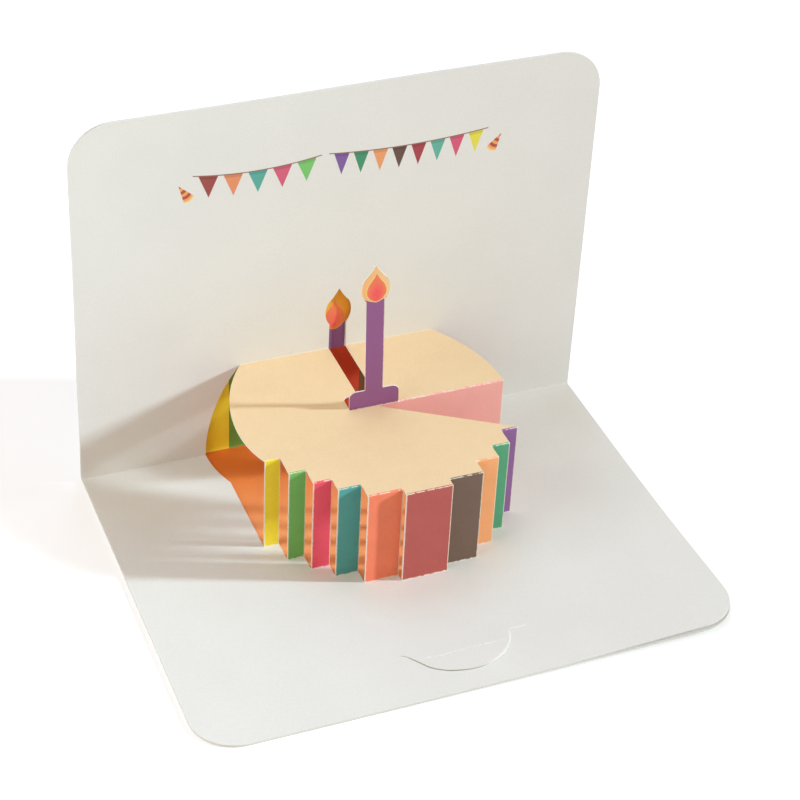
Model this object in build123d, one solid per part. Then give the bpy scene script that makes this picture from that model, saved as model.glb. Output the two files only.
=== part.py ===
from build123d import *
import math
import os

# Pop up card, open at a right angle, cut and folded from one printed sheet that is set into
# a plain folded card. All sizes are in millimetres.
# X runs along the fold, the free edge of the base panel faces -Y and the back panel stands up.
# The part is worked out from the inner sheet's fold line and moved to its resting place at the end.
# Places on the flat sheet are given as x and v, where v is 0 on the fold, positive up the
# back panel and negative towards the free edge of the base panel.

# Panels
card_width = 150.0
panel_length = 113.0
corner_radius = 12.0
sheet_thickness = 0.4
card_thickness = 0.4
wall_gap = 1.0

# Cake: it is as tall as its middle is deep, so that middle lies on the fold when the sheet is flat
cake_height = 29.5
cake_depth = cake_height
side_bulge = 2.9
attach_inset = 10.2
slice_strip = 5.05

# Slats: the middle one, then the others outwards, with how far each stands in front of the cake's
# middle. The outermost slat on the right is gone with the slice.
slat_axis = 1.2
middle_slat_width = 13.2
middle_slat_reach = 39.0
side_slat_widths = [9.7, 6.5, 5.2, 4.8, 4.3]
side_slat_reaches = [36.5, 31.6, 26.9, 21.2, 14.1]

# Candle, in height above its foot, standing where the slice starts
candle_axis = 0.25
stem_width = 5.1
stem_height = 37.6
foot_width = 14.0
foot_height = 6.3
foot_shoulder = 2.0
flame_length = 11.9
flame_width = 7.7
flame_widest_up = 4.1
flame_shoulder_width = 6.0
flame_shoulder_up = 7.5
flame_flank_width = 2.8
flame_flank_up = 9.5
slice_tip_offset = 0.4
lean_forward = 5.3
lean_left = 3.0
root_depth = 0.6
root_inset = 0.4
cut_width = 0.2

# Thumb tab, a half moon cut near the free edge of the base panel
tab_offset = 0.3
tab_width = 25.6
tab_length = 7.2
tab_hinge_to_edge = 14.0
curl_reach = 5.2
curl_rise = 3.4
curl_middle_reach = 1.8
curl_middle_rise = 2.7
tab_cut = 0.3

# Planes whose second direction runs away from the fold, and whose normal points out of the sheet's face
wall_plane = Plane(origin=(0, 0, 0), x_dir=(1, 0, 0), z_dir=(0, -1, 0))
base_plane = Plane(origin=(0, 0, 0), x_dir=(1, 0, 0), z_dir=(0, 0, -1))
top_plane = Plane(origin=(0, 0, cake_height), x_dir=(1, 0, 0), z_dir=(0, 0, -1))
slice_plane = Plane(origin=(0, -cake_depth, 0), x_dir=(1, 0, 0), z_dir=(0, -1, 0))


def slat_line():
    """Left edge, right edge and depth from the back panel of each slat, from left to right."""
    widths = side_slat_widths[::-1] + [middle_slat_width] + side_slat_widths[:-1]
    reaches = side_slat_reaches[::-1] + [middle_slat_reach] + side_slat_reaches[:-1]
    left = slat_axis - middle_slat_width / 2 - sum(side_slat_widths)
    slats = []
    for width, reach in zip(widths, reaches):
        slats.append((left, left + width, cake_depth + reach))
        left += width
    return slats


slats = slat_line()
slats_left = slats[0][0]
slats_right = slats[-1][1]
left_depth = slats[0][2]
right_depth = slats[-1][2]
cake_left = slats_left - side_bulge
cake_right = slats_right + slice_strip
attach_left = cake_left + attach_inset
attach_right = cake_right - attach_inset
slice_tip = candle_axis + slice_tip_offset
foot_right = candle_axis + foot_width / 2
foot_left = candle_axis - foot_width / 2


def panel(past_fold):
    """A panel's outline, from just past its fold to its free edge, with both free corners round."""
    length = panel_length + past_fold
    outline = Pos(0, -past_fold) * Rectangle(card_width, length, align=(Align.CENTER, Align.MIN))
    free_corners = outline.vertices().sort_by(Axis.Y)[-2:]
    return fillet(free_corners, corner_radius)


def candle_outline():
    """The candle's cut line, with its foot on v = 0."""
    shoulder_start = (foot_width / 2, foot_height - foot_shoulder)
    shoulder_end = (foot_width / 2 - foot_shoulder, foot_height)
    stem_top = (stem_width / 2, stem_height)
    widest = (flame_width / 2, stem_height + flame_widest_up)
    flame_shoulder = (flame_shoulder_width / 2, stem_height + flame_shoulder_up)
    flank = (flame_flank_width / 2, stem_height + flame_flank_up)
    foot = Polyline((0, 0), (foot_width / 2, 0), shoulder_start)
    shoulder = RadiusArc(shoulder_start, shoulder_end, -foot_shoulder)
    stem = Polyline(shoulder_end, (stem_width / 2, foot_height), stem_top)
    bulge = ThreePointArc(stem_top, widest, flame_shoulder)
    tip = ThreePointArc(flame_shoulder, flank, (0, stem_height + flame_length))
    right_side = Curve() + [foot, shoulder, stem, bulge, tip]
    left_side = mirror(right_side, about=Plane.YZ)
    outline = make_face((right_side + left_side).edges())
    return Pos(candle_axis, 0) * outline


def slat_corners(toward_front):
    """The line behind the slats from left to right, in a direction where the front is toward_front."""
    corners = []
    for left, right, depth in slats:
        corners.append((left, toward_front(depth - sheet_thickness)))
        corners.append((right, toward_front(depth - sheet_thickness)))
    return corners


def cake_opening():
    """The opening that the cake leaves in the flat sheet, in x and v."""
    fold = cake_height - sheet_thickness
    slice_foot = sheet_thickness - cake_depth
    slat_top = cake_height - left_depth
    upper_left = TangentArc((cake_left, 0), (attach_left, fold), tangent=(0, 1))
    lower_left = TangentArc((cake_left, 0), (slats_left, slat_top), tangent=(0, -1))
    right = TangentArc((cake_right, 0), (attach_right, fold), tangent=(0, 1))
    behind_slats = Polyline((slats_left, slat_top), *slat_corners(lambda depth: -depth))
    slice_corners = [(slats_right, slice_foot), (cake_right, slice_foot), (cake_right, 0)]
    behind_slice = Polyline(behind_slats @ 1, *slice_corners)
    top = Line((attach_right, fold), (attach_left, fold))
    lines = [upper_left, lower_left, *behind_slats.edges(), *behind_slice.edges(), right, top]
    return make_face(lines)


def cake_top():
    """The cake's top in x and depth, with the slice and the candle's slot cut from it."""
    fold = cake_depth - sheet_thickness
    corners = slat_corners(lambda depth: depth)
    upper_left = TangentArc((cake_left, cake_depth), (attach_left, 0), tangent=(0, -1))
    lower_left = TangentArc((cake_left, cake_depth), corners[0], tangent=(0, 1))
    right = TangentArc((cake_right, fold), (attach_right, 0), tangent=(0, -1))
    behind_slats = Polyline(*corners)
    slice_edge = Polyline(behind_slats @ 1, (slice_tip, cake_depth), (slice_tip, fold), (cake_right, fold))
    back = Line((attach_right, 0), (attach_left, 0))
    lines = [upper_left, lower_left, *behind_slats.edges(), *slice_edge.edges(), right, back]
    slot = Pos(0, cake_depth) * mirror(candle_outline(), about=Plane.XZ)
    cut_left = foot_left - cut_width
    cut_size = (slice_tip - cut_left, sheet_thickness + cut_width)
    foot_cut = Pos(cut_left, fold) * Rectangle(*cut_size, align=Align.MIN)
    return make_face(lines) - slot - foot_cut


def turned_edge(left, right, depth):
    """The paper where it turns down over the cake's edge, as a quarter round along X."""
    inner_y = sheet_thickness - depth
    inner_z = cake_height - sheet_thickness
    outer_front = (inner_y - sheet_thickness, inner_z)
    outer_top = (inner_y, inner_z + sheet_thickness)
    bend = RadiusArc(outer_front, outer_top, sheet_thickness)
    section = make_face([bend, Line(outer_top, (inner_y, inner_z)), Line((inner_y, inner_z), outer_front)])
    across = Plane(origin=(left, 0, 0), x_dir=(0, 1, 0), z_dir=(1, 0, 0))
    return extrude(across * section, right - left)


def slat(left, right, depth):
    """One strip from the edge of the cake down to the base panel."""
    face = Plane(origin=(0, -depth, 0), x_dir=(1, 0, 0), z_dir=(0, -1, 0))
    outline = Pos(left, 0) * Rectangle(right - left, cake_height - sheet_thickness, align=Align.MIN)
    return extrude(face * outline, -sheet_thickness) + turned_edge(left, right, depth)


def slice_face():
    """The cut face of the slice, hanging from the cake's top and folded to the base at its right end."""
    under_fold = cake_height - sheet_thickness
    strip_top = cake_height + cake_depth + sheet_thickness - right_depth
    corners = [
        (slice_tip, cake_height),
        (slats_right, strip_top),
        (slats_right, 0),
        (cake_right, 0),
        (cake_right, under_fold),
        (foot_right, under_fold),
        (foot_right, cake_height),
    ]
    outline = make_face(Polyline(*corners, close=True))
    face = extrude(slice_plane * outline, -sheet_thickness)
    return face + turned_edge(foot_right, cake_right, cake_depth)


def candle():
    """The candle, leaning forward and to the left from the top of the slice's cut face."""
    root_left = slice_tip + root_inset
    root_width = foot_right - root_inset - root_left
    root = Pos(root_left, -root_depth) * Rectangle(root_width, root_depth * 2, align=Align.MIN)
    pivot = (slice_tip + foot_right) / 2
    turned = Pos(pivot, 0) * Rot(0, 0, lean_left) * Pos(-pivot, 0) * (candle_outline() + root)
    tilt = math.radians(lean_forward)
    normal = (0, -math.cos(tilt), -math.sin(tilt))
    face = Plane(origin=(0, -cake_depth, cake_height), x_dir=(1, 0, 0), z_dir=normal)
    return extrude(face * turned, -sheet_thickness)


def tab_cut_line():
    """The thumb tab's cut as a narrow band, in x and depth from the fold."""
    hinge = panel_length - tab_hinge_to_edge
    left = (tab_offset - tab_width / 2, hinge)
    right = (tab_offset + tab_width / 2, hinge)
    cuts = [ThreePointArc(left, (tab_offset, hinge + tab_length), right)]
    for outward, (x, depth) in ((-1, left), (1, right)):
        middle = (x + outward * curl_middle_reach, depth - curl_middle_rise)
        end = (x + outward * curl_reach, depth - curl_rise)
        cuts.append(ThreePointArc((x, depth), middle, end))
    return trace(Curve() + cuts, line_width=tab_cut)


def round_back_of_fold(solid, y, z, radius):
    """Rounds the outside of the long fold, wherever the paper is still whole there."""
    near = 0.01
    edges = solid.edges().filter_by(Axis.X).filter_by_position(Axis.Y, y - near, y + near)
    edges = edges.filter_by_position(Axis.Z, z - near, z + near)
    return fillet(edges, radius)


def build_inner_sheet():
    """The one printed sheet: back panel, base panel, cake, slice, slats and candle."""
    opening = cake_opening()
    wall_face = panel(0) - opening - candle_outline()
    base_face = panel(sheet_thickness) - mirror(opening, about=Plane.XZ) - tab_cut_line()
    sheet = extrude(wall_plane * wall_face, -sheet_thickness)
    sheet += extrude(base_plane * base_face, sheet_thickness)
    sheet += extrude(top_plane * cake_top(), sheet_thickness)
    for left, right, depth in slats:
        sheet += slat(left, right, depth)
    sheet += slice_face()
    sheet += candle()
    return round_back_of_fold(sheet, sheet_thickness, -sheet_thickness, 0.9 * sheet_thickness)


def build_outer_card():
    """The plain folded card that the sheet is set into, seen through the sheet's openings."""
    back = sheet_thickness + wall_gap
    card = Pos(0, back, 0) * extrude(wall_plane * panel(sheet_thickness), -card_thickness)
    card += Pos(0, 0, -sheet_thickness) * extrude(base_plane * panel(back + card_thickness), card_thickness)
    under = -sheet_thickness - card_thickness
    return round_back_of_fold(card, back + card_thickness, under, 1.5 * card_thickness)


# The card rests on the underside of the outer card, with the middle of its footprint at the origin
behind_fold = sheet_thickness + wall_gap + card_thickness
place = Pos(0, (panel_length - behind_fold) / 2, sheet_thickness + card_thickness)

os.makedirs("parts", exist_ok=True)
parts = {"inner_sheet": place * build_inner_sheet(), "outer_card": place * build_outer_card()}
for name, part in parts.items():
    part.label = name
    export_step(part, f"parts/{name}.step")
    print(name, "solids", len(part.solids()), "valid", part.is_valid, "volume", round(part.volume, 1))

# Cutting and folding changes no area, so the sheet's volume is that of its flat rectangle
flat_area = card_width * 2 * panel_length - (4 - math.pi) * corner_radius**2
print("flat sheet's volume", round(flat_area * sheet_thickness, 1))
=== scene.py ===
import bmesh
import bpy
import math
from mathutils import Matrix, Quaternion, Vector


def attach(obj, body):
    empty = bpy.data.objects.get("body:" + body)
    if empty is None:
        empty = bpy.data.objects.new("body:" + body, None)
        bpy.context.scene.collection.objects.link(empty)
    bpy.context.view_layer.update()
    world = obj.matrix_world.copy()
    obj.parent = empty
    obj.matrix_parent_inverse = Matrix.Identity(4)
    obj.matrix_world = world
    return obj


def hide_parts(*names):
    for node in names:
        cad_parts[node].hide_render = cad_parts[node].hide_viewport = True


# Pop up card, open at a right angle: a printed sheet with a paper cake, slice and candle cut and
# folded out of it, set into a plain folded card. Sizes in the dictionaries are millimetres.
# Each sheet is cut flat with its fold on Y = 0, folded, and then moved to its resting place.

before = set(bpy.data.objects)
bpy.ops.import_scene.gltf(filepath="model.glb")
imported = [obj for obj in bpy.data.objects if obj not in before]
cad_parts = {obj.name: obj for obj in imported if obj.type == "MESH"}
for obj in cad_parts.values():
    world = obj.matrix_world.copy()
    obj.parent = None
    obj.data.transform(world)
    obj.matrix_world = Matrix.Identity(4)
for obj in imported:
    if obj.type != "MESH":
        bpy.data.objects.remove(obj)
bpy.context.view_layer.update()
mm = 0.001
restingPlace = Vector((0, 55.6, 0.8)) * mm  # from the fold to the middle of the footprint
print("frame loaded:", sorted(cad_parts))


def ink(colour):
    # A colour as it is picked on screen, turned into the numbers that a shader takes
    def linear(share):
        return share / 12.92 if share <= 0.04045 else ((share + 0.055) / 1.055) ** 2.4

    return (*(linear(value / 255) for value in colour), 1.0)


class Wire:
    # A value inside a material: sums, products and comparisons with it add maths nodes
    def __init__(self, tree, socket):
        self.tree = tree
        self.socket = socket

    def calc(self, operation, other=0.0, swapped=False):
        made = addNode(self.tree, "Math", operation=operation)
        for value, socket in zip((other, self) if swapped else (self, other), made.inputs):
            plug(value, socket)
        return Wire(self.tree, made.outputs[0])

    def __add__(self, other):
        return self.calc("ADD", other)

    def __sub__(self, other):
        return self.calc("SUBTRACT", other)

    def __rsub__(self, other):
        return self.calc("SUBTRACT", other, swapped=True)

    def __mul__(self, other):
        return self.calc("MULTIPLY", other)

    def __truediv__(self, other):
        return self.calc("DIVIDE", other)

    def __abs__(self):
        return self.calc("ABSOLUTE")

    def __lt__(self, other):
        return self.calc("LESS_THAN", other)

    def __gt__(self, other):
        return self.calc("GREATER_THAN", other)


def adjust(made, settings):
    for name, value in settings.items():
        setattr(made, name, value)


def addNode(tree, kind, **settings):
    made = tree.nodes.new("ShaderNode" + kind)
    adjust(made, settings)
    return made


def join(node, socket):
    node.id_data.links.new(node.outputs[0], socket)


def plug(value, socket):
    if isinstance(value, Wire):
        value.tree.links.new(value.socket, socket)
    else:
        socket.default_value = value


def distance(sideways, lengthways):
    return (sideways * sideways + lengthways * lengthways).calc("SQRT")


def ramp(value, low, high, toLow=0.0, toHigh=1.0):
    made = addNode(value.tree, "MapRange", interpolation_type="SMOOTHSTEP")
    for part, socket in zip((value, low, high, toLow, toHigh), made.inputs):
        plug(part, socket)
    return Wire(value.tree, made.outputs[0])


def mixColour(factor, first, second, blend="MIX"):
    tree = next(value.tree for value in (factor, first, second) if isinstance(value, Wire))
    made = addNode(tree, "Mix", data_type="RGBA", blend_type=blend)
    for value, socket in ((factor, 0), (first, 6), (second, 7)):
        plug(value, made.inputs[socket])
    return Wire(tree, made.outputs[2])


def cloud(place, size, detail=2.0, stretch=None):
    # Soft noise whose spots are about size millimetres across
    made = addNode(place.tree, "TexNoise")
    made.inputs["Scale"].default_value = 1000 / size
    made.inputs["Detail"].default_value = detail
    if stretch:
        mapping = addNode(place.tree, "Mapping")
        mapping.inputs["Scale"].default_value = stretch
        plug(place, mapping.inputs["Vector"])
        place = Wire(place.tree, mapping.outputs[0])
    plug(place, made.inputs["Vector"])
    return Wire(place.tree, made.outputs[0])


def uneven(place, size, detail, depth, middle=1.0):
    # Noise from middle - depth to middle + depth
    return ramp(cloud(place, size, detail), 0.3, 0.7, middle - depth, middle + depth)


def wobble(place, size, depth):
    # Noise about zero that makes a straight line ragged
    return (cloud(place, size, 3.0) - 0.5) * depth


def flatPlace(tree):
    # Where a point lies on the uncut sheet, in millimetres: across it, and up from its fold
    uvMap = addNode(tree, "UVMap", uv_map="flatSheet")
    parts = addNode(tree, "SeparateXYZ")
    join(uvMap, parts.inputs[0])
    return [Wire(tree, output) * 1000.0 for output in parts.outputs[:2]]


def colourSteps(value, edges, colours):
    # Bands of plain colour, each starting at its edge, for a value from 0 to 1
    made = addNode(value.tree, "ValToRGB")
    steps = made.color_ramp
    steps.interpolation = "CONSTANT"
    for n, (edge, colour) in enumerate(zip(edges, colours)):
        step = steps.elements[n] if n < 2 else steps.elements.new(edge)
        step.position = edge
        step.color = ink(colour)
    plug(value, made.inputs[0])
    return Wire(value.tree, made.outputs[0])


view = {
    "eye": (-0.188744, -0.433061, 0.400100),
    "right": (0.930720, -0.363060, 0.044122),
    "up": (0.183329, 0.567522, 0.802689),
    "back": (-0.316465, -0.738990, 0.594763),
    "camera": {
        "lens": 101.82,
        "sensor_width": 36,
        "sensor_fit": "HORIZONTAL",
        "clip_start": 0.01,
        "clip_end": 20,
    },
}

light = {
    "keyDirection": (-0.94, 0.34, -0.40),  # low, from the front right
    "keyColour": (0.70, 0.88, 1.0),
    "keyStrength": 3.65,
    "keySoftness": 3.4,  # degrees
    "keyTilts": (-2.5, 0.0, 2.5),  # degrees: the window is taller than it's wide
    "lamps": {
        "side": {"place": (-0.5, -0.1, 0.3), "power": 1.82, "colour": (0.81, 0.93, 1.0)},
        "behind": {"place": (0.0, 0.3, 0.6), "power": 1.43, "colour": (0.48, 0.70, 1.0)},
    },
    "lampSize": 0.4,
    "skyColour": (1.0, 0.625, 0.277),
    "skyStrength": 0.37,
    "floorColour": (0.86, 0.86, 0.86),
    "floorGlow": 0.32,
}


def addCamera():
    cameraData = bpy.data.cameras.new("camera")
    adjust(cameraData, view["camera"])
    camera = bpy.data.objects.new("camera", cameraData)
    bpy.context.collection.objects.link(camera)
    axes = Matrix((view["right"], view["up"], view["back"])).transposed()
    camera.matrix_world = Matrix.Translation(view["eye"]) @ axes.to_4x4()
    bpy.context.scene.camera = camera


def addLights():
    key = bpy.data.lights.new("key", "SUN")
    key.energy = light["keyStrength"] / len(light["keyTilts"])
    key.color = light["keyColour"]
    key.angle = math.radians(light["keySoftness"])
    towardCake = Vector(light["keyDirection"]).to_track_quat("-Z", "Y")
    for tilt in light["keyTilts"]:
        keyLamp = bpy.data.objects.new("key", key)
        tilted = towardCake @ Quaternion((1, 0, 0), math.radians(tilt))
        keyLamp.rotation_euler = tilted.to_euler()
        bpy.context.collection.objects.link(keyLamp)
    for name, lamp in light["lamps"].items():
        made = bpy.data.lights.new(name, "AREA")
        made.energy = lamp["power"]
        made.color = lamp["colour"]
        made.size = light["lampSize"]
        stand = bpy.data.objects.new(name, made)
        stand.location = lamp["place"]
        towardCard = Vector((0, 0, 0.03)) - Vector(lamp["place"])
        stand.rotation_euler = towardCard.to_track_quat("-Z", "Y").to_euler()
        bpy.context.collection.objects.link(stand)


def backgroundRays(tree):
    # 1 for the camera's rays, mirrored ones and those through glass, which show the background
    path = addNode(tree, "LightPath")
    shown = Wire(tree, path.outputs["Is Camera Ray"])
    for kind in ("Is Glossy Ray", "Is Transmission Ray"):
        shown = shown.calc("MAXIMUM", Wire(tree, path.outputs[kind]))
    return shown


def addSky():
    world = bpy.data.worlds.new("sky")
    world.use_nodes = True
    tree = world.node_tree
    sky = tree.nodes["Background"]
    sky.inputs["Color"].default_value = (*light["skyColour"], 1)
    sky.inputs["Strength"].default_value = light["skyStrength"]
    seen = addNode(tree, "Background")  # what the camera sees past the floor
    seen.inputs["Color"].default_value = (1, 1, 1, 1)
    choose = addNode(tree, "MixShader")
    plug(backgroundRays(tree), choose.inputs["Fac"])
    join(sky, choose.inputs[1])
    join(seen, choose.inputs[2])
    join(choose, tree.nodes["World Output"].inputs["Surface"])
    bpy.context.scene.world = world


def addFloor():
    bpy.ops.object.select_all(action="DESELECT")
    bpy.ops.mesh.primitive_plane_add(size=8)
    floor = bpy.context.active_object
    floor.name = "floor"
    material = bpy.data.materials.new("floorWhite")
    material.use_nodes = True
    tree = material.node_tree
    shader = tree.nodes["Principled BSDF"]
    shader.inputs["Base Color"].default_value = (*light["floorColour"], 1)
    shader.inputs["Roughness"].default_value = 0.9
    shader.inputs["Specular IOR Level"].default_value = 0.0
    glow = addNode(tree, "Emission")
    plug(backgroundRays(tree) * light["floorGlow"], glow.inputs["Strength"])
    both = addNode(tree, "AddShader")
    join(shader, both.inputs[0])
    join(glow, both.inputs[1])
    join(both, tree.nodes["Material Output"].inputs["Surface"])
    floor.data.materials.append(material)


addCamera()
addLights()
addSky()
addFloor()
bpy.context.scene.view_settings.view_transform = "Standard"
print("camera, lights and floor set")


paper = {
    "white": (232, 230, 225),
    "core": (230, 227, 220),
    "roughness": 0.62,
    "gloss": 0.2,
    "cloudSize": 26.0,
    "cloudDepth": 0.012,
    "fibreSize": 0.5,
    "fibreDepth": 0.018,
    "sheenSize": 1.6,
    "sheenDepth": 0.05,
    "grain": {"size": 0.22, "detail": 3.0, "strength": 0.5, "height": 0.010},
    "wave": {"size": 9.0, "detail": 1.0, "strength": 0.6, "height": 0.020},
}

printing = {
    "dotSize": 0.32,
    "dotDepth": 0.03,
    "blotSize": 5.0,
    "blotDepth": 0.025,
    "speckSize": 0.42,
    "speckShare": 0.85,  # higher is fewer specks
    "speckStrength": 0.35,
    "roughness": 0.5,
    "crackSize": 0.6,
    "crackStretch": (0.5, 1.0, 1.0),
    "crackBand": (0.42, 0.52),
    "crackHalfWidth": 0.2,
    "crackWobbleSize": 0.55,
    "crackWobble": 0.5,
    "crackStrength": 0.85,
    # Pale margins along cut edges: ink missing along the edge, and on edges facing the key light a
    # painted highlight
    "paleSideWidth": 0.24,
    "sideWobbleSize": 1.1,
    "paleSideStrength": 0.8,
    # The pale of cracked and rubbed ink, also used for painted edge highlights
    "paleScuffAndHighlight": (246, 236, 214),
}


def newPaper(name):
    material = bpy.data.materials.new(name)
    material.use_nodes = True
    tree = material.node_tree
    return material, Wire(tree, addNode(tree, "TexCoord").outputs["Object"])


def addBump(place, kind, under=None):
    bump = addNode(place.tree, "Bump")
    bump.inputs["Strength"].default_value = kind["strength"]
    bump.inputs["Distance"].default_value = kind["height"] * mm
    plug(cloud(place, kind["size"], kind["detail"]), bump.inputs["Height"])
    if under:
        plug(under, bump.inputs["Normal"])
    return Wire(place.tree, bump.outputs[0])


def finishPaper(material, place, colour, roughness):
    # Cloudy tone and fine fibres in the colour, grain and a slow wave in the surface
    shader = material.node_tree.nodes["Principled BSDF"]
    tone = uneven(place, paper["cloudSize"], 2.0, paper["cloudDepth"])
    fibre = uneven(place, paper["fibreSize"], 4.0, paper["fibreDepth"])
    plug(mixColour(1.0, colour, tone * fibre, "MULTIPLY"), shader.inputs["Base Color"])
    sheen = uneven(place, paper["sheenSize"], 3.0, paper["sheenDepth"], roughness)
    plug(sheen, shader.inputs["Roughness"])
    shader.inputs["Specular IOR Level"].default_value = paper["gloss"]
    grain = addBump(place, paper["grain"])
    plug(addBump(place, paper["wave"], grain), shader.inputs["Normal"])
    return material


def inkOnPaper(place, colour, unevenness=1.0, specks=False):
    # Uneven ink: fine dots, wide blots and perhaps a few specks that it missed
    dots = uneven(place, printing["dotSize"], 2.0, printing["dotDepth"] * unevenness)
    blots = uneven(place, printing["blotSize"], 3.0, printing["blotDepth"] * unevenness)
    printed = mixColour(1.0, colour, dots * blots, "MULTIPLY")
    if not specks:
        return printed
    share, strength = printing["speckShare"], printing["speckStrength"]
    speck = ramp(cloud(place, printing["speckSize"], 0.0), share, share + 0.03, 0.0, strength)
    return mixColour(speck, printed, ink(paper["core"]))


def crackedFolds(place, colour, foldUps):
    # White paper shows in dashes where the ink broke along folds
    ragged = wobble(place, printing["crackWobbleSize"], printing["crackWobble"])
    up = flatPlace(place.tree)[1] + ragged
    noise = cloud(place, printing["crackSize"], 4.0, printing["crackStretch"])
    dashes = ramp(noise, *printing["crackBand"], 0.0, printing["crackStrength"])
    width = printing["crackHalfWidth"]
    for foldUp in foldUps:
        near = ramp(abs(up - foldUp), width * 0.6, width * 1.2, 1.0, 0.0)
        colour = mixColour(near * dashes, colour, ink(printing["paleScuffAndHighlight"]))
    return colour


def wornAndLitSides(place, colour, sides):
    # A pale ragged margin along cut edges that run up the sheet: ink missing along the edge, and a
    # painted highlight where an edge faces the key light
    marginWidth = printing["paleSideWidth"]
    across = flatPlace(place.tree)[0] + wobble(place, printing["sideWobbleSize"], marginWidth)
    for side in sides:
        near = ramp(abs(across - side), marginWidth * 0.5, marginWidth * 1.3, printing["paleSideStrength"], 0.0)
        colour = mixColour(near, colour, ink(printing["paleScuffAndHighlight"]))
    return colour


def bareCard():
    material, place = newPaper("bareCard")
    return finishPaper(material, place, ink(paper["core"]), paper["roughness"] + 0.1)


def plainPrint(name, colour, unevenness=1.0, specks=False, cracks=(), sides=()):
    material, place = newPaper(name)
    printed = inkOnPaper(place, ink(colour), unevenness, specks)
    printed = wornAndLitSides(place, crackedFolds(place, printed, cracks), sides)
    return finishPaper(material, place, printed, printing["roughness"])


bunting = {
    "rows": [
        {"start": -41.2, "pitch": 6.86, "colours": [
            (160, 82, 78), (232, 148, 106), (95, 173, 160), (216, 101, 127), (127, 200, 115),
        ]},
        {"start": -3.2, "pitch": 5.58, "colours": [
            (133, 98, 160), (76, 148, 112), (238, 162, 111), (107, 81, 73),
            (169, 74, 80), (105, 179, 160), (217, 95, 124), (232, 221, 85),
        ]},
    ],
    "height": 93.4,
    "sag": 1.3,
    "drop": 6.6,
    "halfWidth": 0.40,  # share of the pitch
    "hem": 0.15,  # share of the drop
    "hemShade": 0.82,
    "string": 0.16,
    "stringOver": 1.6,  # how far the string runs on past the pennants
    "stringColour": (150, 110, 96),
}

partyCones = {
    "middle": 0.2,
    "tip": (46.1, 91.2),
    "mouth": (43.15, 86.5),
    "halfMouth": 1.75,
    "bulge": 0.22,
    "lip": 0.3,
    "stripes": 3.0,
    "dark": (186, 84, 66),
    "light": (240, 168, 106),
    "rim": (244, 214, 150),
    "rimBand": (-0.25, -0.1),  # from the mouth
}

# Pale marks on the thumb tab: along its hinge a scored line, partly a painted highlight on the
# ridge there; on its lip along the right half of its cut, which follows a circle, and at the end of
# the cut, painted highlights where the raised cut faces the key light
tabMarks = {
    "hingeUp": -99.0,
    "hingeMiddle": 0.3,
    "hingeHalf": 12.4,
    "hingeBand": (0.05, 0.34),
    "wobbleSize": 5.0,
    "wobble": 1.6,
    "brokenSize": 1.4,
    "brokenBand": (0.38, 0.6, 0.05, 0.75),
    "lipMiddle": (0.67, -92.54),
    "lipRadius": 13.75,
    "lipHalf": 0.3,
    "lipStrength": 0.9,
    "lipAcross": (3.0, 8.0),  # it comes in between these
    "lipFades": (-98.5, -95.9, 1.0, 0.3),
    "lipEnds": -95.7,
    "cutEnd": (16.7, -95.55),
    "cutEndHalf": 2.3,
    "cutEndBand": (0.1, 0.3, 0.6, 0.0),
    "pale": (252, 251, 249),
}


def buntingRow(across, up, row, colour):
    count = len(row["colours"])
    along = (across - row["start"]) / row["pitch"]
    share = along / float(count)
    fromMiddle = share * 2.0 - 1.0
    stringUp = fromMiddle * fromMiddle * bunting["sag"] + (bunting["height"] - bunting["sag"])
    below = stringUp - up
    drop = below / bunting["drop"]
    fromCentre = abs(along.calc("FRACT") - 0.5)
    halfWidth = (1.0 - drop) * bunting["halfWidth"]
    inside = ramp(halfWidth - fromCentre, -0.008, 0.008)
    pennant = inside * ramp(drop, -0.01, 0.01) * (abs(fromMiddle) < 1.0)
    printed = colourSteps(share, [n / count for n in range(count)], row["colours"])
    hem = ramp(drop, bunting["hem"] - 0.02, bunting["hem"] + 0.02, bunting["hemShade"], 1.0)
    colour = mixColour(pennant, colour, mixColour(1.0, printed, hem, "MULTIPLY"))
    onString = ramp(abs(below), bunting["string"] - 0.05, bunting["string"] + 0.05, 1.0, 0.0)
    nearRow = abs(fromMiddle) < 1.0 + bunting["stringOver"] / (row["pitch"] * count)
    return mixColour(onString * nearRow, colour, ink(bunting["stringColour"]))


def coneMarks(across, up, colour):
    tip, mouth = Vector(partyCones["tip"]), Vector(partyCones["mouth"])
    length = (mouth - tip).length
    axis = (mouth - tip) / length
    aside = abs(across - partyCones["middle"]) - tip.x
    above = up - tip.y
    reach = aside * axis.x + above * axis.y
    offAxis = abs(aside * axis.y - above * axis.x)
    halfWidth = reach * (partyCones["halfMouth"] / length)
    end = reach + offAxis * offAxis * partyCones["bulge"]
    mouthEnd = length + partyCones["lip"]
    inside = ramp(halfWidth - offAxis, -0.06, 0.06) * ramp(end, mouthEnd, mouthEnd + 0.15, 1.0, 0.0)
    stripe = (end * (partyCones["stripes"] / length)).calc("FRACT")
    dark, pale = ink(partyCones["dark"]), ink(partyCones["light"])
    printed = mixColour(ramp(stripe, 0.46, 0.54), dark, pale)
    onRim = ramp(end, *(length + edge for edge in partyCones["rimBand"]))
    printed = mixColour(onRim, printed, ink(partyCones["rim"]))
    return mixColour(inside, colour, printed)


# A pale broken line along the tab's hinge: the scored crease, partly a painted highlight on its
# ridge
def hingeCrease(place, across, up, colour):
    ragged = wobble(place, tabMarks["wobbleSize"], tabMarks["wobble"])
    near = ramp(abs(up - tabMarks["hingeUp"] + ragged), *tabMarks["hingeBand"], 1.0, 0.0)
    onTab = abs(across - tabMarks["hingeMiddle"]) < tabMarks["hingeHalf"]
    broken = ramp(cloud(place, tabMarks["brokenSize"], 3.0), *tabMarks["brokenBand"])
    return mixColour(near * onTab * broken, colour, ink(tabMarks["pale"]))


# Painted highlights: a pale band on the lip along the right half of the cut and at the cut's end,
# where the raised tab's cut face catches the key light
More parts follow.
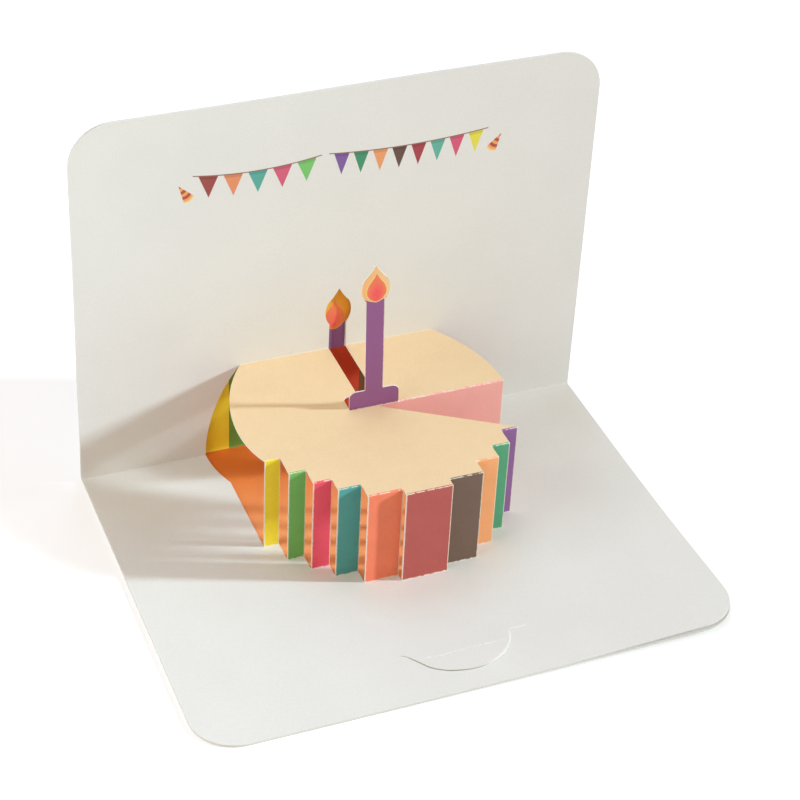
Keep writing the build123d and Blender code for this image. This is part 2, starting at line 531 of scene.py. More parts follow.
def lipHighlights(across, up, colour):
    middleX, middleUp = tabMarks["lipMiddle"]
    fromMiddle = distance(across - middleX, up - middleUp)
    half = tabMarks["lipHalf"]
    fromLip = abs(fromMiddle - tabMarks["lipRadius"])
    onLip = ramp(fromLip, half * 0.5, half * 1.3, tabMarks["lipStrength"], 0.0)
    onLip = onLip * ramp(across, *tabMarks["lipAcross"]) * ramp(up, *tabMarks["lipFades"])
    onLip = onLip * (up < tabMarks["lipEnds"])
    endX, endUp = tabMarks["cutEnd"]
    onEnd = ramp(abs(up - endUp), *tabMarks["cutEndBand"])
    onEnd = onEnd * (abs(across - endX) < tabMarks["cutEndHalf"])
    return mixColour(onLip.calc("MAXIMUM", onEnd), colour, ink(tabMarks["pale"]))


def whiteSheetPrint():
    material, place = newPaper("whiteSheet")
    across, up = flatPlace(place.tree)
    colour = ink(paper["white"])
    for row in bunting["rows"]:
        colour = buntingRow(across, up, row, colour)
    colour = coneMarks(across, up, colour)
    colour = hingeCrease(place, across, up, colour)
    colour = lipHighlights(across, up, colour)
    return finishPaper(material, place, colour, paper["roughness"])


# A drop's half width at shares of the way from its foot to its tip
flameShape = [
    (0.0, 0.0), (0.05, 0.42), (0.15, 0.76), (0.34, 1.0),
    (0.55, 0.86), (0.72, 0.52), (0.87, 0.2), (1.0, 0.0),
]

flameBlend = {
    "sideways": (-3.5, 4.0),
    "rim": 0.32,
    "rimSoft": 0.2,
    "tipOver": 1.6,  # how much further than its sides the rim's tip reaches
    "heartUp": 2.6,
    "heartSquash": 0.55,
    "heartBand": (0.4, 2.6),
}

flame = {
    "outer": {"middle": 0.25, "foot": 37.2, "tip": 49.9, "halfWidth": 4.6},
    "inner": {"middle": 0.45, "foot": 37.35, "tip": 46.8, "halfWidth": 2.65},
    "left": (254, 193, 126),
    "right": (248, 214, 160),
    "rim": (255, 214, 140),
    "innerHeart": (253, 99, 100),
    "innerEdge": (250, 132, 98),
    "stem": (152, 98, 149),
}

backFlame = {
    "outer": {"middle": 0.1, "foot": 36.0, "tip": 51.0, "halfWidth": 5.6},
    "inner": {"middle": -0.35, "foot": 35.0, "tip": 44.4, "halfWidth": 3.0},
    "left": (254, 188, 76),
    "right": (250, 170, 54),
    "rim": (252, 168, 92),
    "innerHeart": (254, 118, 102),
    "innerEdge": (252, 136, 92),
    "stem": (146, 104, 164),
}


def flameMask(across, up, part, spread=0.0, soft=0.06):
    foot, tip = part["foot"] - spread, part["tip"] + spread * flameBlend["tipOver"]
    share = (up - foot) / (tip - foot)
    outline = addNode(up.tree, "FloatCurve")
    curve = outline.mapping.curves[0]
    curve.points[0].location = flameShape[0]
    curve.points[1].location = flameShape[-1]
    for point in flameShape[1:-1]:
        curve.points.new(*point)
    outline.mapping.update()
    plug(share, outline.inputs["Value"])
    half = Wire(up.tree, outline.outputs[0]) * (part["halfWidth"] + spread)
    inside = ramp(half - abs(across - part["middle"]), -soft, soft)
    return inside * ((share > 0.0) * (share < 1.0))


def flamePrint(across, up, colour, inks):
    inner, outer = inks["inner"], inks["outer"]
    sideways = ramp(across, *(outer["middle"] + end for end in flameBlend["sideways"]))
    outerInk = mixColour(sideways, ink(inks["left"]), ink(inks["right"]))
    colour = mixColour(flameMask(across, up, outer), colour, outerInk)
    rim = flameMask(across, up, inner, flameBlend["rim"], flameBlend["rimSoft"])
    colour = mixColour(rim, colour, ink(inks["rim"]))
    aboveHeart = (up - (inner["foot"] + flameBlend["heartUp"])) * flameBlend["heartSquash"]
    outward = ramp(distance(across - inner["middle"], aboveHeart), *flameBlend["heartBand"])
    innerInk = mixColour(outward, ink(inks["innerHeart"]), ink(inks["innerEdge"]))
    return mixColour(flameMask(across, up, inner), colour, innerInk)


def candlePrint():
    material, place = newPaper("candleInk")
    across, up = flatPlace(place.tree)
    stemInk = ink(flame["stem"])
    # Painted highlight: a pale margin along the stem's right cut edge, which faces the key light
    stemWithHighlight = wornAndLitSides(place, stemInk, [candle["middle"] + candle["stemHalf"]])
    aboveFoot = ramp(up, candle["footHeight"], candle["footHeight"] + 0.1)
    colour = flamePrint(across, up, mixColour(aboveFoot, stemInk, stemWithHighlight), flame)
    printed = crackedFolds(place, inkOnPaper(place, colour, 0.6), [0.05])
    return finishPaper(material, place, printed, printing["roughness"])


# The flat sheet, in millimetres: across it, and up from its fold
card = {
    "width": 149.98,
    "panelLength": 113.0,
    "cornerRadius": 12.0,
    "thickness": 0.4,
    "cell": 5.0,
    "foldSteps": 4,
    "mainFoldRadius": 0.12,
    "innerFoldRadius": 0.16,
    "outerFoldRadius": 0.44,
    "edgeWear": 0.14,
    "netShift": 0.37,
    "clearAcross": 0.2,  # between the net of lines and the creases
    "clearUp": 0.9,
}

cake = {
    "height": 29.5,
    "left": -38.8,
    "right": 39.05,
    "attachLeft": -28.6,
    "attachRight": 28.85,
    "slatEdges": [-35.9, -31.6, -26.8, -21.6, -15.1, -5.4, 7.8, 17.5, 24.0, 29.2, 34.0],
    "slatDepths": [43.6, 50.7, 56.4, 61.1, 66.0, 68.5, 66.0, 61.1, 56.4, 50.7],
    "sliceTip": 0.65,
    "sliceEnd": 20.8,
    "printOver": 0.6,  # how far the ink of a slat runs on past its fold
    "topCrack": 0.16,
    "footCrack": 0.1,
    "sliceCracks": [0.2, -0.05],
    "top": (240, 210, 168),
    "cutFace": (252, 182, 174),
    "slats": [
        (253, 230, 62), (122, 191, 103), (246, 91, 113), (88, 167, 163),
        (253, 138, 104), (188, 95, 90), (121, 99, 86), (254, 179, 122),
        (92, 170, 129), (150, 106, 164),
    ],
    "speckedSlats": (5, 6),
}

candle = {
    "middle": 0.25,
    "footHalf": 7.0,
    "footHeight": 6.3,
    "footShoulder": 2.0,
    "stemHalf": 2.55,
    "stemHeight": 37.6,
    "flameSide": (3.85, 41.7),
    "flameShoulder": (3.0, 45.1),
    "flameFlank": (1.4, 47.1),
    "flameTip": 49.5,
    "leanForward": 5.3,
    "leanLeft": 3.0,
    "turn": 4.0,
    "leanPivot": 3.95,
    "turnPivot": 2.0,
    "besideFoot": 3.0,  # length of the line that ends the slice's fold at the foot
}

thumbTab = {
    "line": [
        (-17.2, -95.7), (-15.3, -96.3), (-12.9, -99.2), (-10.4, -102.5), (-6.3, -105.0),
        (-1.6, -106.2), (2.2, -106.3), (5.8, -105.4), (9.5, -103.2), (12.0, -100.6),
        (12.9, -99.0), (13.8, -97.5), (14.3, -96.3), (15.8, -95.4), (19.4, -95.5),
    ],
    "above": [(14.0, -94.2), (-12.0, -94.4)],
    "hinge": -99.0,
    "tilt": 0.6,
    "raisedLeft": 0.12,
    "raisedRight": 0.38,
    "restsOver": 0.18,  # its right side lies on the edge of the panel
    "raisedFrom": -96.2,
    "raisedAcross": (-8.0, 7.0),
    "restsFrom": (0.75, 0.95),
    "restsDown": 0.7,
    "slitLeft": 0.42,
    "slitRight": 0.04,
    "slitNarrows": (0.12, 0.5),  # shares of the way along the cut
}

cornerLift = {
    "height": 1.3,  # of the front right corner off the table
    "across": (-60.0, 75.0),
    "down": (35.0, 113.0),
    "parting": 0.9,  # of the printed sheet from the card under it
    "partingAcross": (15.0, 75.0),
    "partingDown": (65.0, 113.0),
    "inset": 0.6,
    "behind": -5.0,  # the fold and the wall stay as they are
    "nearFloor": 0.8,
}

wallBow = {
    "forward": 1.15,  # of the upper left part of the standing panels
    "toLeft": (-35.0, 40.0),
    "up": (28.0, 70.0),
}

# Codes of the sheet's regions, the slats' from 10 on, and the slots that dressSheet fills for them
regions = {"back": 0, "base": 1, "top": 2, "slice": 3, "candle": 4, "tab": 5, "slit": 6, "slat": 10}
slots = {"top": 1, "slice": 2, "candle": 3, "slat": 4}


def arcThrough(start, middle, end, steps):
    # Points of the round arc from start by middle to end, without the start
    a, b, c = (complex(*point) for point in (start, middle, end))
    w = (c - a) / (b - a)
    centre = a - (a - b) * (w - abs(w) ** 2) / (2j * w.imag)
    first = math.atan2((a - centre).imag, (a - centre).real)
    sweep = (math.atan2((c - centre).imag, (c - centre).real) - first) % math.tau
    if w.imag < 0:
        sweep -= math.tau
    x, y, radius = centre.real, centre.imag, abs(a - centre)
    angles = [first + sweep * n / steps for n in range(1, steps + 1)]
    return [(x + radius * math.cos(angle), y + radius * math.sin(angle)) for angle in angles]


def arcFrom(start, direction, end, steps):
    # The same for an arc that leaves start upwards (1) or downwards (-1)
    dx, dy = end[0] - start[0], end[1] - start[1]
    radius = (dx * dx + dy * dy) / (2 * dx)  # its centre lies level with the start
    centreX = start[0] + radius
    sweep = 2 * math.atan2(abs(dx), abs(dy))
    middleY = start[1] + direction * abs(radius) * math.sin(sweep / 2)
    return arcThrough(start, (centreX - radius * math.cos(sweep / 2), middleY), end, steps)


def smoothLine(points, steps):
    # A soft curve through points
    def between(p, q, r, s, t):
        bend, twist = 2 * p - 5 * q + 4 * r - s, 3 * q - p - 3 * r + s
        return 0.5 * (2 * q + (r - p) * t + bend * t * t + twist * t ** 3)

    line = [points[0]]
    padded = [points[0], *points, points[-1]]
    for four in zip(padded, padded[1:], padded[2:], padded[3:]):
        for n in range(1, steps + 1):
            line.append(tuple(between(*values, n / steps) for values in zip(*four)))
    return line


def candleLine():
    half, high, shoulder = candle["footHalf"], candle["footHeight"], candle["footShoulder"]
    cornerOff = shoulder * (1 - math.sqrt(0.5))
    shoulderStart, shoulderEnd = (half, high - shoulder), (half - shoulder, high)
    shoulderMiddle = (half - cornerOff, high - cornerOff)
    side = [(half, 0.0), shoulderStart]
    side += arcThrough(shoulderStart, shoulderMiddle, shoulderEnd, 6)
    stemTop, flameShoulder = (candle["stemHalf"], candle["stemHeight"]), candle["flameShoulder"]
    side += [(candle["stemHalf"], high), stemTop]
    side += arcThrough(stemTop, candle["flameSide"], flameShoulder, 10)
    side += arcThrough(flameShoulder, candle["flameFlank"], (0.0, candle["flameTip"]), 8)
    line = side + [(-x, up) for x, up in reversed(side[:-1])]
    return [(x + candle["middle"], up) for x, up in line]


def eachSlat():
    # The left side, the right side and the depth of each slat
    return list(zip(cake["slatEdges"], cake["slatEdges"][1:], cake["slatDepths"]))


def slatCorners(shift):
    corners = []
    for left, right, depth in eachSlat():
        corners += [(left, shift - depth), (right, shift - depth)]
    return corners


def inkEnds():
    # Lines on the cake top where the ink of each slat and of the slice ends, past their folds
    lines, over = [], cake["printOver"]
    for left, right, depth in eachSlat():
        up = cake["height"] - depth + over
        lines.append([(left, up), (right, up)])
    return lines + [[(candle["middle"] + candle["footHalf"], over), (cake["right"] + 0.02, over)]]


def sliceLine():
    last, high = cake["slatEdges"][-1], cake["height"]
    tip, corner = (cake["sliceTip"], 0.0), (last, -cake["sliceEnd"])
    return [tip, corner, (last, -high), (cake["right"], -high)]


def cakeLines():
    edges, depths, high = cake["slatEdges"], cake["slatDepths"], cake["height"]
    leftSide, rightSide = (cake["left"], 0.0), (cake["right"], 0.0)
    footSide = candle["middle"] + candle["footHalf"]
    upperLeft = [leftSide] + arcFrom(leftSide, 1, (cake["attachLeft"], high), 26)
    lowerLeft = arcFrom(leftSide, -1, (edges[0], high - depths[0]), 14)
    upperRight = [rightSide] + arcFrom(rightSide, 1, (cake["attachRight"], high), 26)
    lines = [
        upperLeft[::-1] + lowerLeft + slatCorners(0.0) + [(edges[-1], -high)],
        [(cake["right"], -high)] + upperRight,
        [(cake["attachLeft"], high), (cake["attachRight"], high)],
        slatCorners(high),
        sliceLine(),
        [(footSide, 0.0), (footSide, -candle["besideFoot"])],
    ]
    for edge, before, after in zip(edges[1:], depths, depths[1:]):
        lines.append([(edge, high - max(before, after)), (edge, -min(before, after))])
    return lines


def cakeOutline():
    leftLine, rightLine = cakeLines()[:2]
    return leftLine + rightLine


def tabLines():
    # The cut round the tab, its other lip a little outside it, a frame for the hinge, and a line
    # above the cut from where the paper starts to rise
    line = smoothLine(thumbTab["line"], 3)
    start, end = line[0], line[-1]
    atHinge = [start, (start[0], thumbTab["hinge"]), (end[0], thumbTab["hinge"]), end]
    return [line, outerLip(line), atHinge, [end, *thumbTab["above"], start]]


def outerLip(line):
    lip = [line[0]]
    for n, (a, b, c) in enumerate(zip(line, line[1:], line[2:])):
        share = (n + 1) / (len(line) - 1)
        along = Vector((c[0] - a[0], c[1] - a[1])).normalized()
        narrowed = ease(share, *thumbTab["slitNarrows"])
        width = thumbTab["slitLeft"] * (1 - narrowed) + thumbTab["slitRight"] * narrowed
        width *= min(1.0, share * 8, (1 - share) * 8)
        lip.append((b[0] + along.y * width, b[1] - along.x * width))
    return lip + [line[-1]]


def ease(value, start, end):
    share = min(1.0, max(0.0, (value - start) / (end - start)))
    return share * share * (3 - 2 * share)


def isInside(x, up, outline):
    inside = False
    for (ax, ay), (bx, by) in zip(outline, outline[1:] + outline[:1]):
        if (ay > up) != (by > up) and x < ax + (up - ay) * (bx - ax) / (by - ay):
            inside = not inside
    return inside


def editPiece(piece):
    if bpy.context.mode != "OBJECT":
        bpy.ops.object.mode_set(mode="OBJECT")
    bpy.ops.object.select_all(action="DESELECT")
    piece.select_set(True)
    bpy.context.view_layer.objects.active = piece
    bpy.ops.object.mode_set(mode="EDIT")
    bpy.ops.mesh.select_mode(type="FACE")


def pick(piece, kind, wanted):
    # Selects the wanted faces, edges or vertices, and nothing else
    bpy.ops.mesh.select_mode(type=kind)
    bpy.ops.mesh.select_all(action="DESELECT")
    mesh = bmesh.from_edit_mesh(piece.data)
    for part in {"FACE": mesh.faces, "EDGE": mesh.edges, "VERT": mesh.verts}[kind]:
        if wanted(part):
            part.select_set(True)
    bmesh.update_edit_mesh(piece.data)


def bevel(radius, **settings):
    bpy.ops.mesh.bevel(offset=radius * mm, offset_type="OFFSET", profile=0.5, **settings)


def flatSheet(name, backLength, baseLength, wholeCreases, partCreases=()):
    # A sheet with round corners and a net of lines, so that it can bow, clear of the creases that
    # are rounded later
    bpy.ops.object.select_all(action="DESELECT")
    bpy.ops.mesh.primitive_plane_add(size=1)
    piece = bpy.context.active_object
    piece.name = name
    editPiece(piece)
    bpy.ops.mesh.select_all(action="SELECT")
    bpy.ops.transform.resize(value=(card["width"] * mm, (backLength + baseLength) * mm, 1))
    bpy.ops.transform.translate(value=(0, (backLength - baseLength) * mm / 2, 0))
    bevel(card["cornerRadius"], affect="VERTICES", segments=16)
    half = card["width"] / 2
    sideways = netLines(half, half, cake["slatEdges"], card["clearAcross"])
    lengthways = netLines(baseLength, backLength, [*wholeCreases, *partCreases], card["clearUp"])
    crossings = [(Vector((line * mm, 0, 0)), Vector((1, 0, 0))) for line in sideways]
    for line in lengthways + wholeCreases:
        crossings.append((Vector((0, line * mm, 0)), Vector((0, 1, 0))))
    for point, normal in crossings:
        bpy.ops.mesh.select_all(action="SELECT")
        bpy.ops.mesh.bisect(plane_co=point, plane_no=normal)
    return piece


def netLines(before, after, creases, clear):
    count = int((before + after) / card["cell"])
    step = (before + after) / count
    lines = [n * step - before + card["netShift"] for n in range(1, count)]
    return [line for line in lines if all(abs(line - crease) > clear for crease in creases)]


def cutAlong(piece, lines):
    # Stands a thin wall on each line, cuts the sheet where the walls pass through it, clears them
    bpy.ops.object.mode_set(mode="OBJECT")
    bpy.ops.object.select_all(action="DESELECT")
    drawn = bpy.data.curves.new("cutLines", "CURVE")
    drawn.dimensions = "3D"
    drawn.extrude = 4 * mm
    for line in lines:
        spline = drawn.splines.new("POLY")
        spline.points.add(len(line) - 1)
        for point, (x, up) in zip(spline.points, line):
            point.co = (x * mm, up * mm, 0, 1)
    walls = bpy.data.objects.new("cutLines", drawn)
    bpy.context.collection.objects.link(walls)
    walls.select_set(True)
    bpy.context.view_layer.objects.active = walls
    bpy.ops.object.convert(target="MESH")
    piece.select_set(True)
    bpy.context.view_layer.objects.active = piece
    bpy.ops.object.join()
    editPiece(piece)
    pick(piece, "FACE", lambda face: abs(face.normal.z) > 0.5)
    bpy.ops.mesh.intersect(mode="SELECT_UNSELECT", separate_mode="NONE", solver="EXACT")
    pick(piece, "FACE", lambda face: abs(face.normal.z) < 0.5)  # the walls
    bpy.ops.mesh.delete(type="FACE")
    bpy.ops.mesh.select_all(action="SELECT")
    bpy.ops.mesh.remove_doubles(threshold=0.002 * mm)


def faceMiddles(mesh):
    # A point inside each face, the middle of its largest triangle
    middles = {}
    for triangle in mesh.calc_loop_triangles():
        a, b, c = (loop.vert.co for loop in triangle)
        area = (b - a).cross(c - a).length
        face = triangle[0].face
        if area > middles.get(face.index, (0, None))[0]:
            middles[face.index] = (area, (a + b + c) / 3 / mm)
    return {index: middle for index, (area, middle) in middles.items()}


def regionAt(x, up, outlines):
    if isInside(x, up, outlines["candle"]):
        return regions["candle"]
    if isInside(x, up, outlines["cake"]):
        for n, (left, right, depth) in enumerate(eachSlat()):
            if left < x < right and -depth < up < cake["height"] - depth:
                return regions["slat"] + n
        return regions["slice"] if isInside(x, up, outlines["slice"]) else regions["top"]
    if isInside(x, up, outlines["slit"]):
        return regions["slit"]
    if isInside(x, up, outlines["tab"]):
        return regions["tab"]
    return regions["back"] if up > 0 else regions["base"]


def inkSlot(region, x, up):
    # The slot of the material that prints a point of the sheet
    if region == regions["top"]:
        if 0 < up < cake["printOver"] and x > candle["middle"] + candle["footHalf"]:
            return slots["slice"]
        for n, (left, right, depth) in enumerate(eachSlat()):
            if left < x < right and up < cake["height"] - depth + cake["printOver"]:
                return slots["slat"] + n
    if region >= regions["slat"]:
        return slots["slat"] + region - regions["slat"]
    return {regions[name]: slot for name, slot in slots.items()}.get(region, 0)


def markRegions(piece):
    cut, lip = tabLines()[:2]
    outlines = {
        "candle": candleLine(),
        "cake": cakeOutline(),
        "slice": sliceLine() + [(cake["right"], 0)],
        "tab": [point for point in cut if point[1] <= thumbTab["hinge"] + 0.01],
        "slit": cut + lip[::-1],
    }
    mesh = bmesh.from_edit_mesh(piece.data)
    layer = mesh.faces.layers.int.new("region")
    mesh.faces.ensure_lookup_table()
    mesh.faces.index_update()
    for index, middle in faceMiddles(mesh).items():
        face = mesh.faces[index]
        face[layer] = regionAt(middle.x, middle.y, outlines)
        face.material_index = inkSlot(face[layer], middle.x, middle.y)
    bmesh.update_edit_mesh(piece.data)


def foldUps():
    # How far up the flat sheet each pair of regions is folded together
    high = cake["height"]
    pairs = {
        ("back", "base"): 0.0,
        ("back", "top"): high,
        ("top", "slice"): 0.0,
        ("candle", "slice"): 0.0,
        ("base", "tab"): thumbTab["hinge"],
    }
    folds = {frozenset((regions[a], regions[b])): up for (a, b), up in pairs.items()}
    for n, depth in enumerate(cake["slatDepths"]):
        folds[frozenset((regions["top"], regions["slat"] + n))] = high - depth
    return folds


def regionLayer(piece):
    return bmesh.from_edit_mesh(piece.data).faces.layers.int["region"]


def cutRegions(piece):
    # Clears the slit and parts every cut edge, for now also the feet that joinFeet welds again
    layer = regionLayer(piece)
    pick(piece, "FACE", lambda face: face[layer] == regions["slit"])
    bpy.ops.mesh.delete(type="FACE")
    layer = regionLayer(piece)
    folds = foldUps()

    def isCut(edge):
        pair = frozenset(face[layer] for face in edge.link_faces)
        if len(edge.link_faces) != 2 or len(pair) == 1:
            return False
        ups = [vert.co.y / mm for vert in edge.verts]
        return not (pair in folds and all(abs(up - folds[pair]) < 0.005 for up in ups))

    pick(piece, "EDGE", isCut)
    bpy.ops.mesh.edge_split(type="EDGE")


def keepFlatPlaces(piece):
    # The print follows the flat sheet, so each corner of each face remembers where it was
    mesh = bmesh.from_edit_mesh(piece.data)
    flat = mesh.loops.layers.uv.new("flatSheet")
    for face in mesh.faces:
        for loop in face.loops:
            loop[flat].uv = (loop.vert.co.x, loop.vert.co.y)
    bmesh.update_edit_mesh(piece.data)


def raiseTab(piece):
    # The paper inside the cut stands a little above the panel, up to a crease on the hinge
    inside = tabLines()[0] + thumbTab["above"]
    raised = set()
    for face in bmesh.from_edit_mesh(piece.data).faces:
        middle = face.calc_center_median_weighted() / mm
        if abs(middle.z) < 0.01 and isInside(middle.x, middle.y, inside):
            raised.update(face.verts)
    for vert in raised:
        share = ease(-vert.co.y / mm, -thumbTab["raisedFrom"], -thumbTab["hinge"])
        right = ease(vert.co.x / mm, *thumbTab["raisedAcross"])
        height = thumbTab["raisedLeft"] * (1 - right) + thumbTab["raisedRight"] * right
        vert.co.z += share * height * mm
        rests = ease(share * right, *thumbTab["restsFrom"]) * thumbTab["restsOver"] * mm
        vert.co.x += rests
        vert.co.y -= rests * thumbTab["restsDown"]
    bmesh.update_edit_mesh(piece.data)


def turn(angle, centre, axis="X"):
    # Turns what is selected about an axis through centre, in degrees
    bpy.ops.transform.rotate(
        value=-math.radians(angle),
        orient_axis=axis,
        orient_type="GLOBAL",
        center_override=Vector(centre) * mm,
    )


def fold(piece, names, angle, centre, axis="X"):
    layer, wanted = regionLayer(piece), {regions[name] for name in names}
    pick(piece, "FACE", lambda face: min(face[layer], regions["slat"]) in wanted)
    turn(angle, centre, axis)


def foldSlat(piece, n, depth):
    layer = regionLayer(piece)
    pick(piece, "FACE", lambda face: face[layer] == regions["slat"] + n)
    turn(90, (0, -depth, cake["height"]))


def joinFeet(piece):
    # Welds the feet of the slats and of the slice to the base panel
    feet = eachSlat() + [(cake["slatEdges"][-1], cake["right"], cake["height"])]
    near = 0.01

    def isFoot(vert):
        x, y, z = vert.co / mm
        return abs(z) < near and any(
            left - near < x < right + near and abs(y + depth) < near for left, right, depth in feet
        )

    pick(piece, "VERT", isFoot)
    bpy.ops.mesh.remove_doubles(threshold=near * mm)


def roundFolds(piece, radius, wanted):
    # Rounds the sharp folds whose middles are wanted
    def isFold(edge):
        if len(edge.link_faces) != 2 or edge.calc_face_angle() <= 0.5:
            return False
        return wanted(*(edge.verts[0].co + edge.verts[1].co) / 2 / mm)

    pick(piece, "EDGE", isFold)
    bevel(radius, affect="EDGES", segments=card["foldSteps"], clamp_overlap=False)


def modify(piece, name, kind, **settings):
    adjust(piece.modifiers.new(name, kind), settings)
    bpy.ops.object.modifier_apply(modifier=name)


def thickenPaper(piece, lastSlot):
    # Gives the sheet its thickness behind the printed face, wears its cut edges, and makes large
    # faces look flat up to their folds
    bpy.ops.object.mode_set(mode="OBJECT")
    bare = {"material_offset": lastSlot, "material_offset_rim": lastSlot}
    modify(piece, "thickness", "SOLIDIFY", thickness=card["thickness"] * mm, offset=-1, **bare)
    worn = {"width": card["edgeWear"] * mm, "segments": 2, "material": lastSlot}
    sharp = {"limit_method": "ANGLE", "angle_limit": math.radians(60), "loop_slide": False}
    modify(piece, "edgeWear", "BEVEL", **worn, **sharp)
    bpy.ops.object.shade_smooth_by_angle(angle=math.radians(40))
    modify(piece, "flatFaces", "WEIGHTED_NORMAL", keep_sharp=True)


def printedSheet():
    high = cake["height"]
    slatFolds = [shift - depth for depth in cake["slatDepths"] for shift in (0.0, high)]
    length = card["panelLength"]
    piece = flatSheet("printed_sheet", length, length, [0.0], [high, -high] + slatFolds)
    cutAlong(piece, cakeLines() + inkEnds() + [candleLine()] + tabLines())
    markRegions(piece)
    keepFlatPlaces(piece)
    cutRegions(piece)
    print("sheet cut:", len(bmesh.from_edit_mesh(piece.data).faces), "faces")
    fold(piece, ["back", "top", "slat", "slice", "candle"], 90, (0, 0, 0))
    fold(piece, ["top", "slat", "slice", "candle"], -90, (0, 0, high))
    for n, depth in enumerate(cake["slatDepths"]):
        foldSlat(piece, n, depth)
    fold(piece, ["slice"], 90, (0, -high, high))
    fold(piece, ["candle"], 90 + candle["leanForward"], (0, -high, high))
    leanCentre, turnCentre = [(candle[name], -high, high) for name in ("leanPivot", "turnPivot")]
    fold(piece, ["candle"], -candle["leanLeft"], leanCentre, "Y")
    fold(piece, ["candle"], -candle["turn"], turnCentre, "Z")
    raiseTab(piece)
    hingeCentre = (0, thumbTab["hinge"], thumbTab["raisedRight"])
    fold(piece, ["tab"], -thumbTab["tilt"], hingeCentre)
    joinFeet(piece)
    print("sheet folded")
    roundFolds(piece, card["outerFoldRadius"], lambda x, y, z: z > high - 0.1 and y < -high + 0.1)
    roundFolds(piece, card["innerFoldRadius"], lambda x, y, z: y < -high + 0.1 and z < 0.01)
    roundFolds(piece, card["innerFoldRadius"], lambda x, y, z: abs(y) < 0.01 and z > high - 0.1)
    roundFolds(piece, card["mainFoldRadius"], lambda x, y, z: abs(y) < 0.01 and abs(z) < 0.01)
    return piece


def liftCorner(piece, floorUp, parted):
    # The front right corner stands off the table, and the two sheets part there
    bpy.ops.object.mode_set(mode="OBJECT")
    for vert in piece.data.vertices:
        x, y, z = vert.co / mm
        if abs(z - floorUp) < cornerLift["nearFloor"] and y < cornerLift["behind"]:
            rise = ease(x, *cornerLift["across"]) ** 1.5 * ease(-y, *cornerLift["down"])
            part = ease(x, *cornerLift["partingAcross"])
            part *= ease(-y, *cornerLift["partingDown"]) * parted
            vert.co.z += (rise * cornerLift["height"] + part * cornerLift["parting"]) * mm
            vert.co.y += part * cornerLift["inset"] * mm


def bowWall(piece):
    # The standing panels curl a little towards the front on their left side
    for vert in piece.data.vertices:
        x, y, z = vert.co / mm
        if y > -1:
            share = ease(-x, *wallBow["toLeft"]) * ease(z, *wallBow["up"])
            vert.co.y -= share * wallBow["forward"] * mm


def restPiece(piece, node):
    editPiece(piece)
    bpy.ops.mesh.select_all(action="SELECT")
    bpy.ops.transform.translate(value=restingPlace)
    bpy.ops.object.mode_set(mode="OBJECT")
    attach(piece, "root")
    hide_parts(node)


def dressSheet(piece):
    # The slice face gets a pale margin on its right cut edge, a painted highlight where it faces
    # the key light
    sides = [cake["right"]]
    materials = [
        whiteSheetPrint(),
        plainPrint("cakeTop", cake["top"], 0.35),
        plainPrint("sliceFace", cake["cutFace"], 0.6, cracks=cake["sliceCracks"], sides=sides),
        candlePrint(),
    ]
    for n, (left, right, depth) in enumerate(eachSlat()):
        cracks = [cake["height"] - depth + cake["topCrack"], cake["footCrack"] - depth]
        name, specks = f"slat{n + 1}", n in cake["speckedSlats"]
        # Each slat gets pale margins on both cut edges: ink missing along the left edge, and a
        # painted highlight on the right edge, which faces the key light
        material = plainPrint(name, cake["slats"][n], 1.0, specks, cracks, [left, right])
        materials.append(material)
    materials.append(bareCard())
    for material in materials:
        piece.data.materials.append(material)
    return len(materials) - 1


sheetPiece = printedSheet()
liftCorner(sheetPiece, 0.0, 1.0)
bowWall(sheetPiece)
lastSlot = dressSheet(sheetPiece)
thickenPaper(sheetPiece, lastSlot)
restPiece(sheetPiece, "inner_sheet")
print("printed sheet:", len(sheetPiece.data.polygons), "faces")


backing = {
    "wallGap": 1.0,
    "edgeGap": 0.12,
    "closesAcross": (42.0, 72.0),
    "closesUp": (50.0, 108.0),
    "closesFromFold": 12.0,
    "foldRadius": 0.9,
    "stripeInks": [
        (252, 231, 64), (114, 165, 75), (214, 90, 106), (70, 134, 124),
        (234, 128, 88), (198, 76, 50), (118, 80, 50), (238, 150, 90),
        (98, 158, 118), (140, 100, 152), (140, 100, 152),
    ],
    "stripesUpTo": 28.2,
    "stripesOver": 12.0,  # on either side of the slats
    "stripesWithin": 0.8,  # of the floor's half width squared
    # The printed floor is darker towards the fold and lighter towards the front: painted shade
    # under the cake top, fading towards the front where light falls
    "floorShadedInk": (232, 122, 48),
    "floorLitInk": (255, 170, 112),
    "shadeFadesFrom": -2.0,
    "shadeFadesTo": -46.0,
    "floorMiddle": 0.2,
    "floorHalfWidth": 48.0,
    "floorDepth": 74.0,
    "stemMiddle": -0.45,
    "stemHalf": 3.3,
    "stemIntoFlame": 3.0,
}


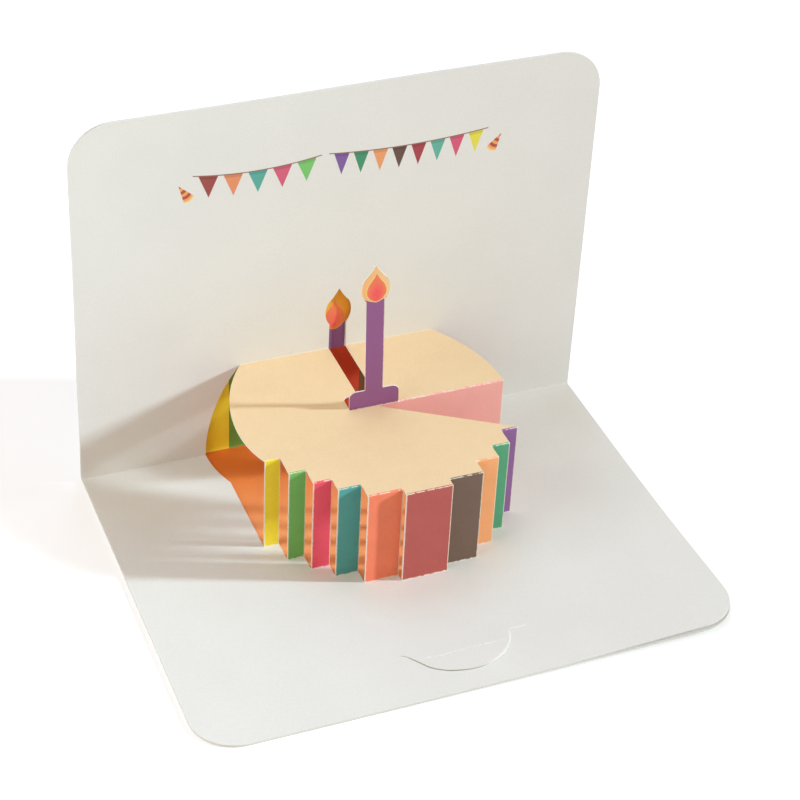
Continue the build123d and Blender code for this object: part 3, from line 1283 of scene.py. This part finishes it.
def backingPrint():
    material, place = newPaper("backingPrint")
    across, up = flatPlace(place.tree)
    height = up - card["thickness"]
    edges = cake["slatEdges"]
    low, high = edges[0] - backing["stripesOver"], edges[-1] + backing["stripesOver"]
    starts = [0.0] + [(edge - low) / (high - low) for edge in edges[1:]]
    stripes = colourSteps((across - low) / (high - low), starts, backing["stripeInks"])
    fromStem = abs(across - backing["stemMiddle"])
    stem = ramp(fromStem, backing["stemHalf"], backing["stemHalf"] + 0.1, 1.0, 0.0)
    stem = stem * (height < backFlame["outer"]["foot"] + backing["stemIntoFlame"])
    onWall = mixColour(stem, ink(paper["white"]), ink(backFlame["stem"]))
    onWall = flamePrint(across, height, onWall, backFlame)
    sideways = (across - backing["floorMiddle"]) / backing["floorHalfWidth"]
    sideways = sideways * sideways
    underTop = (height < backing["stripesUpTo"]) * (sideways < backing["stripesWithin"])
    onWall = mixColour(underTop, onWall, stripes)
    outward = up / backing["floorDepth"]
    onDisc = sideways + outward * outward < 1.0
    # Painted shade: the floor's ink darkens from the front towards the fold, under the cake top
    towardLit = ramp(up * -1.0, -backing["shadeFadesFrom"], -backing["shadeFadesTo"])
    discInkWithShade = mixColour(towardLit, ink(backing["floorShadedInk"]), ink(backing["floorLitInk"]))
    onFloor = mixColour(onDisc, ink(paper["white"]), discInkWithShade)
    colour = mixColour(up > 0.0, onFloor, onWall)
    printed = inkOnPaper(place, colour, 0.6)
    return finishPaper(material, place, printed, printing["roughness"] + 0.05)


def closeGap(piece):
    # The back panels touch along their free edges and part towards the cake
    wall = (card["thickness"] + backing["wallGap"]) * mm
    for vert in piece.data.vertices:
        x, y, z = abs(vert.co.x) / mm, vert.co.y, vert.co.z / mm
        if z > 0 and y > wall - 0.1 * mm:
            apart = (1 - ease(x, *backing["closesAcross"])) * (1 - ease(z, *backing["closesUp"]))
            closed = (1 - apart) * min(1.0, z / backing["closesFromFold"])
            vert.co.y -= (backing["wallGap"] - backing["edgeGap"]) * mm * closed


def backingCard():
    behind = card["thickness"] + backing["wallGap"]
    length = card["panelLength"]
    piece = flatSheet("backing_card", length + card["thickness"], length + behind, [0.0])
    keepFlatPlaces(piece)
    pick(piece, "FACE", lambda face: face.calc_center_median().y > 0)
    turn(90, (0, 0, 0))
    bpy.ops.mesh.select_all(action="SELECT")
    bpy.ops.transform.translate(value=(0, behind * mm, -card["thickness"] * mm))
    roundFolds(piece, backing["foldRadius"], lambda x, y, z: True)
    bpy.ops.object.mode_set(mode="OBJECT")
    closeGap(piece)
    return piece


backingPiece = backingCard()
liftCorner(backingPiece, -card["thickness"], 0.0)
bowWall(backingPiece)
for material in (backingPrint(), bpy.data.materials["bareCard"]):
    backingPiece.data.materials.append(material)
thickenPaper(backingPiece, 1)
restPiece(backingPiece, "outer_card")
print("backing card:", len(backingPiece.data.polygons), "faces")

print("finished")
